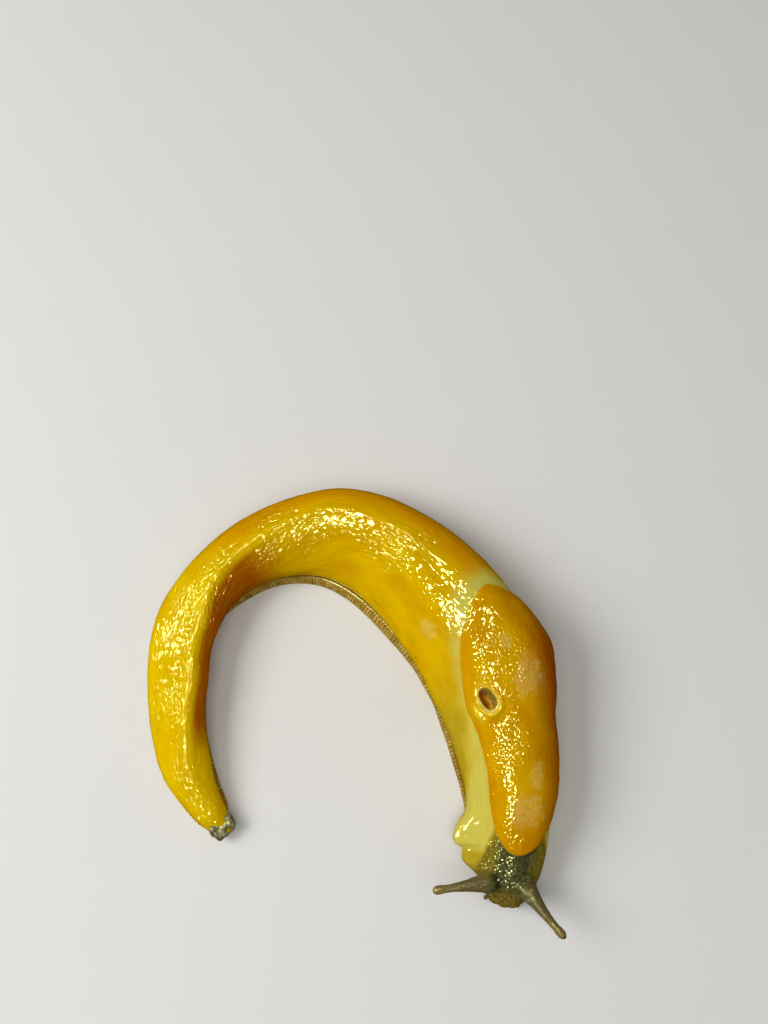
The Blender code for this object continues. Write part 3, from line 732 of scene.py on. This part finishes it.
def relief(points, f):
    """How far each point of the skin moves outwards."""
    along, over, up = f["along"], f["over"], f["up"]
    mantle, head, trunk = f["mantle"], f["head"], f["trunk"]
    high = -FLESH_SUNK * f["flesh"]
    for region, tall, size, seed in SOFT_HILLS:
        high += f[region] * tall * ripple(points, size, seed)
    drift = 0.6 * ripple(points, 4.0, 3)
    tail = trunk * fade(55, 90, along)
    for tall, length, width, seed, level in TAIL_GRAINS:
        high += tail * tall * (pebbles(along / length + drift, over / width + drift, seed) - level)
    tall, length, width, seed, level = HEAD_GRAIN
    high += head * tall * (pebbles(along / length + drift, over / width, seed) - level)
    streak = ripple(np.stack([along / 9.0, over / 0.9, over * 0], axis=1), 1.0, 8)
    high += (trunk - tail) * 0.015 * streak
    high -= mantle * ridge(along, MANTLE_DENT)
    lobe_place = f["lobe_place"] - 0.15 * (up - 4)
    high -= (1 - mantle) * ridge(lobe_place, LOBE_CREASE) * fade(5.5, 9, over)
    # The crown of the head, from the tentacles back under the mantle
    crown = head * fade(15, 11, along)
    high += crown * ridge(over, CROWN_RIDGE) * fade(1.5, 4, along)
    high -= crown * ridge(np.abs(over), CROWN_GROOVES) * fade(2.5, 5, along)
    # The lobes round the mouth, and its slit
    lips = fade(1.9, 0.6, along) * fade(5.6, 4.6, up) * (1 - f["feeler"])
    high += lips * (0.3 * np.abs(np.cos(f["across"] * 1.35)) - 0.12)
    high -= ridge(up, MOUTH) * fade(1.6, 0.9, along) * fade(2.7, 2.1, np.abs(f["across"]))
    # The breathing pore's lip, higher on its lower side, and the mounds beside it
    middle, half = PORE_LIP
    lip = bump((f["pore_ring"] - middle) / half) * (0.1 + 0.46 * f["lower_side"])
    knob = mound(f["pore_long"], f["pore_short"], PORE_KNOB)
    high += mantle * (lip + PORE_KNOB_HEIGHT * knob) + PORE_FOLD_HEIGHT * f["fold"]
    return high


def skin_regions(points, f, pit):
    """What the skin's material reads at each point, each from 0 to 1."""
    along, over, up = f["along"], f["over"], f["up"]
    trunk, mantle, pale, ring = f["trunk"], f["mantle"], f["pale"], f["pore_ring"]
    lip = f["near_pore"] * fade(1.75, 1.25, ring) * (0.25 + 0.75 * f["lower_side"])
    rim = f["near_pore"] * bump((ring - 1.06) / 0.1) * (0.15 + 0.7 * f["lower_side"])
    # The mantle's painted shade, weaker towards its rear
    mantle_shade_before_rear = 1 - 0.7 * fade(44, 54, along)
    # Where the domes of the wet film are: in patches, finer over the back than at its sides
    least = 0.1 + 0.25 * fade(85, 110, along)
    patchy = np.clip(0.55 + 0.8 * ripple(points, 5.5, 13), least, 1.0)
    side = fade(3, 5.5, -over) + fade(6, 9, over)
    tail = 0.7 * trunk * fade(52, 88, along)
    front = 0.3 * trunk
    not_pale = 1 - 0.7 * pale
    # Painted shadow: dark orange-brown on the tail's right flank beside the ridge
    inner_shade = fade(98, 112, along) * fade(160, 148, along) * fade(0.8, 2.6, over)
    # Painted light: a bright line where a fold inside the pore catches the light; the mesh has no
    # fold there
    pore_fold = bump((f["pore_short"] - 0.45) / 0.3) * fade(2, 0.6, f["pore_long"])
    return dict(
        **{name: f[name] for name in ("mantle", "stalk", "tip", "pale", "pore")},
        head=f["head_skin"],
        pore_side=fade(-0.4, 0.5, f["pore_short"]),
        # How deep the pore is, for its painted shade
        pore_depth=pit,
        pore_fold=f["pore"] * pore_fold,
        # The lip's own paler yellow; on the fold beside the pore the same yellow is painted light
        lip=np.maximum(lip, f["fold"]),
        rim=rim,
        # Painted shade: darker low on the trunk, near the foot
        low=trunk * fade(5.5, 2.8, up),
        median=fade(5.2, 2.4, np.abs(over)),
        snout=fade(4.8, 2.4, along) * fade(8.8, 6.8, up),
        # Painted shade: darker orange round the mantle's edge and on its left side
        mantle_edge_shade=mantle * fade(0.62, 1, f["share"]) * mantle_shade_before_rear,
        mantle_side_shade=mantle * fade(-1, -8.5, over) * mantle_shade_before_rear,
        rear=fade(96, 116, along),
        lobe=trunk * fade(11.3, 9.3, f["lobe_place"]),
        olive=trunk * (1 - pale) * fade(56, 34, along) * fade(4, 8, over),
        # Painted shade: deeper orange on the trunk's left flank, ahead of the tail
        outer_shade=trunk * (1 - pale) * fade(122, 104, along) * fade(-0.5, -4.5, over),
        inner_shade=trunk * inner_shade,
        tubercles=patchy * (front + tail) * (1 - 0.8 * side) * not_pale,
        wrinkles=patchy * (front * not_pale + tail * side),
        mantle_net=np.maximum(patchy, 0.5) * mantle * (1 - 0.5 * fade(46, 54, along)),
    )


def skin_piece():
    """The one skin over head, trunk, tail, mantle and tentacles."""
    forms = [trunk_form(), mantle_form()]
    forms += [tentacle_form(places) for places in UPPER_TENTACLES.values()]
    forms += [feeler_form(sign) for sign in (-1, 1)]
    points, faces = remeshed(forms, VOXEL)
    near = Neighbours(len(points), faces)
    points = near.smooth(points, *SKIN_SMOOTHING)
    f = skin_fields(points)
    weight, rounds = ROOT_SMOOTHING
    points = near.smooth(points, weight * f["root"][:, None], rounds)
    points = points + near.out(points) * relief(points, f)[:, None]
    inward = over_back(*PORE_AT, 0) - over_back(*PORE_AT, 1)
    pit = f["near_pore"] * fade(1, 0.35, f["pore_ring"])
    points = points + inward * (PORE_DEPTH * pit)[:, None]
    place = np.stack([f["along"], f["over"], f["rise"]], axis=1)
    piece = add_piece("slug_skin", points, faces.tolist())
    return finished(piece, skin_material(), place=place, **skin_regions(points, f, pit))


def foot_piece():
    """The foot: a flat sole with a grooved skirt on each side."""
    step = FRINGE_PITCH / 7
    u = np.arange(FOOT_FRONT + 0.02, FOOT_BACK, step)[:, None]
    belly = through(BELLY_HALF_WIDTH, u)
    top = through(BELLY, u) - FOOT_GAP
    short = np.maximum(FOOT_EASE - np.minimum(u - FOOT_FRONT, FOOT_BACK - u), 0)
    narrow = np.sqrt(1 - (short / (FOOT_EASE + 0.1)) ** 2)
    down = np.linspace(0, 1, FRINGE_ROWS)
    stages, outs, lifts = np.array(SKIRT_PROFILE).T
    out_share = np.interp(down, stages, outs)
    lift = np.interp(down, stages, lifts)
    shown = fade(0.1, 0.35, down) * fade(1, 0.9, down)
    halves = []
    for sign, rows in ((1, FRINGE_RIGHT), (-1, FRINGE_LEFT)):
        reach = through(rows, u) * narrow
        root = (belly + through(FLARE, u) * (sign > 0)) * narrow
        wander = ripple(np.concatenate([u, u * 0, u * 0 + sign * 9], axis=1), 2.3, 21)
        phase = u / FRINGE_PITCH + FRINGE_WANDER * wander[:, None] + FRINGE_LEAN * down
        x = np.abs(phase - np.floor(phase) - 0.5) * 2
        depth = x**7
        cut = FRINGE_GROOVE * depth * shown
        swell = FRINGE_SWELL * (1 - x**2) * shown
        across = root + reach * out_share - cut * 0.8 + swell
        up = np.maximum(top * lift - cut * 0.7 * (down < 0.9) + swell * (down < 0.85), 0)
        half = (sign * across, up, depth * fade(0.02, 0.2, down), down + u * 0)
        halves.append([values[:, ::sign] for values in half])
    across, up, groove, skirt = (np.concatenate(pair, axis=1) for pair in zip(*halves))
    up[:, len(down) - 1:len(down) + 1] = 0.0
    piece = add_piece("foot_fringe", *loft(list(to_world(u, across, up))))
    place = np.stack([u + across * 0, across, up], axis=-1).reshape(-1, 3)
    return finished(piece, foot_material(), groove=groove, skirt=skirt, place=place)


def eye_piece(side):
    """A dark bead, sunk into the tip of the tentacle."""
    centres = bowed(UPPER_TENTACLES[side], (0.97, 1.0))
    look = unit(unit(centres[1] - centres[0]) + (0, 0, EYE_LIFT))
    centre = centres[1] + look * (TENTACLE_RADII[-1][1] - EYE_RADIUS + EYE_PROUD)
    rings = []
    other = unit(np.cross(look, (0, 0, 1)))
    third = np.cross(look, other)
    turn = turns(32)[:, None]
    for angle in np.radians(np.linspace(4, 176, 20)):
        wide = math.sin(angle) * EYE_RADIUS
        rings.append(centre - look * math.cos(angle) * EYE_RADIUS * EYE_FLAT
                     + (other * np.cos(turn) + third * np.sin(turn)) * wide)
    return finished(add_piece(f"eye_bead_{side}", *loft(rings)), eye_material())


def plug_piece():
    """The lump of dried slime round the tip of the tail."""
    rng = np.random.default_rng(7)
    forms = []
    for _ in range(PLUG_BLOBS):
        t = rng.uniform(-0.12, 0.78)
        narrow = 1 - 0.35 * max(t, 0)
        across = rng.uniform(-2.1, 2.1) * narrow
        up = 1.25 + rng.uniform(0.0, 2.0) * narrow
        centre = to_world(TAIL_END + t * PLUG_LENGTH, across, up)
        forms.append(blob(centre, rng.uniform(0.7, 1.0) * (1 - 0.15 * max(t, 0)), rng))
    points, faces = remeshed(forms, PLUG_VOXEL)
    near = Neighbours(len(points), faces)
    points = near.smooth(points, *PLUG_SMOOTHING)
    wrinkle = np.abs(ripple(points, 0.9, 31)) + 0.5 * np.abs(ripple(points, 0.4, 32))
    points = points + near.out(points) * (0.18 * (0.6 - wrinkle))[:, None]
    points[:, 2] = np.maximum(points[:, 2], 0.12)
    return finished(add_piece("slime_plug", points, faces.tolist()), plug_material())


def blob(centre, radius, rng):
    """A ball, stretched a little at random."""
    stretch = rng.uniform(0.75, 1.25, 3)
    rings = []
    turn = turns(24)
    for angle in np.radians(np.linspace(5, 175, 14)):
        wide, up = math.sin(angle), math.cos(angle)
        ring = np.stack([np.cos(turn) * wide, np.sin(turn) * wide, turn * 0 + up], axis=1)
        rings.append(centre + ring * radius * stretch)
    return loft(rings)


def paint(red, green, blue):
    """A colour from its three values out of 255, as a screen shows it."""
    return tuple(((v / 255 + 0.055) / 1.055) ** 2.4 if v > 10 else v / 255 / 12.92
                 for v in (red, green, blue)) + (1.0,)


class Finish:
    """A material and short calls for its nodes."""

    def __init__(self, name):
        self.material = bpy.data.materials.new(name)
        self.material.use_nodes = True
        self.tree = self.material.node_tree

    def dressed(self, **sockets):
        """The material, with these values or nodes on the sockets of its surface."""
        surface = self.tree.nodes["Principled BSDF"]
        for key, value in sockets.items():
            self.set(surface.inputs[key.replace("_", " ").title().replace("Ior", "IOR")], value)
        return self.material

    def set(self, socket, value):
        if isinstance(value, bpy.types.NodeSocket):
            self.tree.links.new(value, socket)
        else:
            socket.default_value = value

    def node(self, kind, values, **settings):
        made = self.tree.nodes.new("ShaderNode" + kind)
        for key, value in settings.items():
            setattr(made, key, value)
        for key, value in values.items():
            self.set(made.inputs[key], value)
        return made

    def field(self, name, output="Fac"):
        return self.node("Attribute", {}, attribute_name=name).outputs[output]

    def place(self, along, over, rise=0, warp=0):
        """The place on the slug with its three parts scaled, and first wavered by warp."""
        place = self.field("place", "Vector")
        if warp:
            waver = self.node("TexNoise", {"Vector": place, "Scale": 0.5, "Detail": 3})
            shift = self.vector("MULTIPLY", waver.outputs["Color"], (warp,) * 3)
            place = self.vector("ADD", place, shift)
        return self.vector("MULTIPLY", place, (along, over, rise))

    def noise(self, vector, detail, rough=0.5, scale=1):
        values = {"Vector": vector, "Scale": scale, "Detail": detail, "Roughness": rough}
        return self.node("TexNoise", values).outputs["Fac"]

    def fine_noise(self, scale, detail):
        """Noise by the place in metres, not by the place on the slug."""
        return self.noise(self.node("TexCoord", {}).outputs["Object"], detail, scale=scale)

    def cells(self, vector):
        """The distance from the middle of the nearest random cell."""
        values = {"Vector": vector, "Scale": 1}
        return self.node("TexVoronoi", values, voronoi_dimensions="2D").outputs["Distance"]

    def math(self, operation, a, b):
        return self.node("Math", {0: a, 1: b}, operation=operation).outputs[0]

    def vector(self, operation, a, b):
        return self.node("VectorMath", {0: a, 1: b}, operation=operation).outputs[0]

    def span(self, value, low, high, to_low=0, to_high=1):
        """The value moved from one range to another, and held there."""
        values = {0: value, 1: low, 2: high, 3: to_low, 4: to_high}
        return self.node("MapRange", values, interpolation_type="SMOOTHSTEP").outputs[0]

    def mix(self, factor, a, b):
        return self.node("Mix", {0: factor, 6: a, 7: b}, data_type="RGBA").outputs[2]

    def over(self, colour, region, new, most=1):
        """The colour with a new one laid over it in a region, up to the share that most says."""
        share = self.field(region)
        return self.mix(self.math("MULTIPLY", share, most) if most < 1 else share, colour, new)

    def mottled(self, noise, first, second, low=0.35, high=0.65):
        """Two colours in soft patches of the noise."""
        return self.mix(self.span(noise, low, high), first, second)

    def bump(self, height, distance, strength=1):
        values = {"Height": height, "Distance": distance * MM, "Strength": strength}
        return self.node("Bump", values).outputs["Normal"]


def film_mask(m):
    """Where thin films of dried slime lie on the skin."""
    place = m.field("place", "Vector")
    edge_noise = m.noise(m.place(0.7, 0.7), 5, 0.65)
    ragged = m.math("MULTIPLY", m.math("SUBTRACT", edge_noise, 0.5), 2.6)
    mask = None
    for along, over, half_along, half_over in SLIME_FILMS:
        gap = m.vector("SUBTRACT", place, (along, over, 0))
        gap = m.vector("MULTIPLY", gap, (1 / half_along, 1 / half_over, 0))
        far = m.node("VectorMath", {0: gap}, operation="LENGTH").outputs["Value"]
        here = m.span(m.math("ADD", far, ragged), 1.3, 0.7)
        mask = here if mask is None else m.math("MAXIMUM", mask, here)
    cloud = m.noise(m.place(1, 2.2, warp=1.2), 5, 0.6)
    return m.math("MULTIPLY", mask, m.span(cloud, 0.36, 0.6, 0.3, 1))


def skin_colour(m):
    """Yellow flesh, and over it the mantle, the slime, the head, the tentacles and the pore."""
    broad = m.noise(m.place(0.1, 0.25), 4)
    streaks = m.noise(m.place(0.22, 2, warp=0.8), 3)
    specks = m.noise(m.place(1.3, 1.9, 0.6), 3)
    grains = m.noise(m.place(1.5, 1.5, 1.5), 2)
    front = m.mottled(broad, paint(222, 182, 0), paint(212, 166, 0), high=0.68)
    rear = m.mottled(broad, paint(228, 192, 0), paint(220, 178, 0), high=0.68)
    body = m.over(front, "rear", rear)
    # Painted shade: deeper orange on the trunk's left flank
    body = m.over(body, "outer_shade", paint(212, 152, 0))
    # Painted shadow: dark orange-brown on the tail's right flank beside the ridge
    body = m.over(body, "inner_shade", paint(158, 76, 0), 0.9)
    body = m.mix(m.span(streaks, 0.5, 0.75, 0, 0.14), body, paint(240, 212, 40))
    body = m.mix(m.span(specks, 0.6, 0.74, 0, 0.16), body, paint(190, 134, 0))
    olive = m.mottled(streaks, paint(184, 160, 28), paint(192, 168, 52), high=0.7)
    body = m.over(body, "olive", olive)
    pale = m.mottled(streaks, paint(207, 193, 86), paint(213, 201, 100), 0.3, 0.75)
    pale = m.over(pale, "lobe", paint(186, 162, 44))
    body = m.over(body, "pale", pale)
    # Painted shade: darker low on the trunk, near the foot
    body = m.over(body, "low", paint(182, 148, 14), 0.45)
    mantle = m.mottled(broad, paint(218, 170, 0), paint(206, 152, 0), high=0.68)
    mantle = m.mix(m.span(specks, 0.55, 0.7, 0, 0.2), mantle, paint(228, 184, 10))
    # Painted shade: dark orange on the mantle's left side and round its edge
    mantle = m.over(mantle, "mantle_side_shade", paint(170, 86, 0))
    mantle = m.over(mantle, "mantle_edge_shade", paint(198, 132, 0), 0.4)
    colour = m.over(body, "mantle", mantle)
    colour = m.mix(m.math("MULTIPLY", film_mask(m), 0.32), colour, paint(226, 208, 140))
    # The head's own greys and olives, darkened with painted shade, most of all on the crown
    head = m.mottled(grains, paint(126, 110, 30), paint(148, 132, 48))
    crown = m.mottled(grains, paint(72, 74, 44), paint(102, 100, 64))
    snout = m.mottled(grains, paint(102, 86, 32), paint(144, 126, 58))
    head = m.over(head, "median", crown)
    head = m.over(head, "snout", snout)
    colour = m.over(colour, "head", head)
    colour = m.over(colour, "stalk", m.over(paint(114, 103, 70), "tip", paint(140, 122, 78)))
    # The lip's own paler yellow; over the fold beside the pore it is painted light
    colour = m.over(colour, "lip", paint(236, 204, 48), 0.75)
    colour = m.over(colour, "rim", paint(240, 226, 150))
    # The pore's walls: reddish brown on the slug's right, olive grey on its left; the olive grey is
    # partly the wall's own colour and partly painted sheen
    wall = m.over(paint(146, 130, 66), "pore_side", paint(140, 74, 4))
    # Painted light: bright orange along a fold inside the pore that the mesh doesn't raise
    wall = m.over(wall, "pore_fold", paint(232, 168, 44))
    # Painted shade: dark brown deep in the pore
    wall = m.mix(m.span(m.field("pore_depth"), 0.6, 1, 0, 0.25), wall, paint(84, 48, 8))
    return m.over(colour, "pore", wall)


def skin_height(m):
    """Height in millimetres of the wet film over the skin."""
    height = m.math("MULTIPLY", m.noise(m.place(0.5, 0.7, 0.4, 0.4), 1), 0.2)
    for along, over, warp, region, tall in DOMES:
        cells = m.cells(m.place(along, over, warp=warp))
        dome = m.math("MULTIPLY", m.math("MULTIPLY", cells, cells), m.field(region))
        height = m.math("SUBTRACT", height, m.math("MULTIPLY", dome, tall))
    grains = m.math("MULTIPLY", m.fine_noise(1900, 1), m.field("stalk"))
    return m.math("ADD", height, m.math("MULTIPLY", grains, 0.3))


def skin_material():
    m = Finish("slug_skin")
    height = skin_height(m)
    return m.dressed(
        base_color=skin_colour(m), roughness=0.5, specular_ior_level=0,
        subsurface_weight=0.3, subsurface_radius=(1, 0.5, 0.08), subsurface_scale=MM,
        coat_weight=1, coat_roughness=0.05, coat_ior=1.42,
        normal=m.bump(height, 1, 0.4), coat_normal=m.bump(height, 1),
    )


def foot_material():
    m = Finish("foot_fringe")
    noise = m.noise(m.place(0.5, 0.5, 0.5), 2)
    colour = m.mottled(noise, paint(196, 168, 88), paint(168, 138, 60))
    # Painted shade: dark brown in the skirt's grooves
    colour = m.mix(m.span(m.field("groove"), 0.1, 0.6), colour, paint(62, 42, 12))
    # Painted shade: darker at the top of the skirt, where it tucks under the flank
    colour = m.mix(m.span(m.field("skirt"), 0.2, 0.02), colour, paint(110, 84, 22))
    colour = m.mix(m.span(m.field("skirt"), 0.93, 0.99), colour, paint(196, 180, 110))
    fine = m.noise(m.place(3, 3, 3), 2)
    return m.dressed(
        base_color=colour, roughness=0.5, specular_ior_level=0,
        coat_weight=0.5, coat_roughness=0.12, normal=m.bump(fine, 0.03),
    )


def eye_material():
    m = Finish("eye_bead")
    colour = m.mix(m.fine_noise(2600, 2), paint(14, 12, 10), paint(30, 24, 18))
    return m.dressed(base_color=colour, roughness=0.2, coat_weight=1, coat_roughness=0.03)


def plug_material():
    m = Finish("slime_plug")
    broad = m.fine_noise(900, 3)
    return m.dressed(
        base_color=m.mottled(broad, paint(104, 92, 52), paint(168, 162, 128)),
        roughness=0.5, coat_weight=0.8, coat_roughness=0.12,
        normal=m.bump(m.fine_noise(2500, 3), 0.12),
    )


def floor_material():
    m = Finish("floor")
    colour = m.mix(m.fine_noise(6, 3), paint(226, 224, 219), paint(232, 230, 226))
    return m.dressed(base_color=colour, roughness=0.8, specular_ior_level=0)


def add_camera():
    camera = bpy.data.cameras.new("camera")
    camera.sensor_width = SENSOR_WIDTH
    # The sensor's width is the picture's long side, and the view angle is that of its short side
    half_short_side = SENSOR_WIDTH / 2 * PICTURE_SHAPE
    camera.lens = half_short_side / math.tan(math.radians(SHORT_SIDE_VIEW / 2))
    camera.clip_start = 0.01
    tilt = math.radians(CAMERA_TILT)
    obj = placed("camera", camera)
    away = Vector((0, -math.sin(tilt), math.cos(tilt))) * CAMERA_DISTANCE
    obj.location = (Vector(CAMERA_AIM) + away) * MM
    obj.rotation_euler = (tilt, 0, 0)
    bpy.context.scene.camera = obj


def add_light(name, towards, distance, size, power, shows):
    """A square lamp that faces the slug, either for even light or for the gloss of the wet skin."""
    light = bpy.data.lights.new(name, "AREA")
    light.size = size
    light.energy = power
    if shows == "gloss":
        light.color = GLOSS_COLOUR
    obj = placed(name, light)
    away = Vector(towards).normalized()
    obj.location = Vector(SLUG_MIDDLE) * MM + away * distance
    obj.rotation_euler = away.to_track_quat("Z", "Y").to_euler()
    obj.visible_diffuse = shows == "form"
    obj.visible_transmission = shows == "form"
    obj.visible_glossy = shows == "gloss"


def add_studio():
    corners = np.array([(-1, -1, 0), (1, -1, 0), (1, 1, 0), (-1, 1, 0)], float) * FLOOR_HALF
    floor = add_piece("floor", corners, [(0, 1, 2, 3)], 1.0)
    floor.data.materials.append(floor_material())
    floor.visible_glossy = False
    for lamp in LAMPS:
        add_light(*lamp)
    world = bpy.data.worlds.new("studio")
    world.use_nodes = True
    background = world.node_tree.nodes["Background"]
    background.inputs["Color"].default_value = WORLD_COLOUR
    background.inputs["Strength"].default_value = WORLD_STRENGTH
    world.cycles_visibility.glossy = False
    scene = bpy.context.scene
    scene.world = world
    scene.view_settings.view_transform = "Standard"
    scene.view_settings.look = "Medium High Contrast"


add_camera()
skin = skin_piece()
foot = foot_piece()
plug = plug_piece()
eyes = {side: eye_piece(side) for side in UPPER_TENTACLES}
add_studio()

for piece in (skin, foot, plug, *eyes.values()):
    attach(piece, "root")
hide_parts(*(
    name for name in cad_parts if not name.startswith(("foot", "eye", "tail_plug"))
))
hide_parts(*(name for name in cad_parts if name.startswith("foot")))
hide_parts("tail_plug")
for side, bead in eyes.items():
    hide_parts(f"eye_{side}")
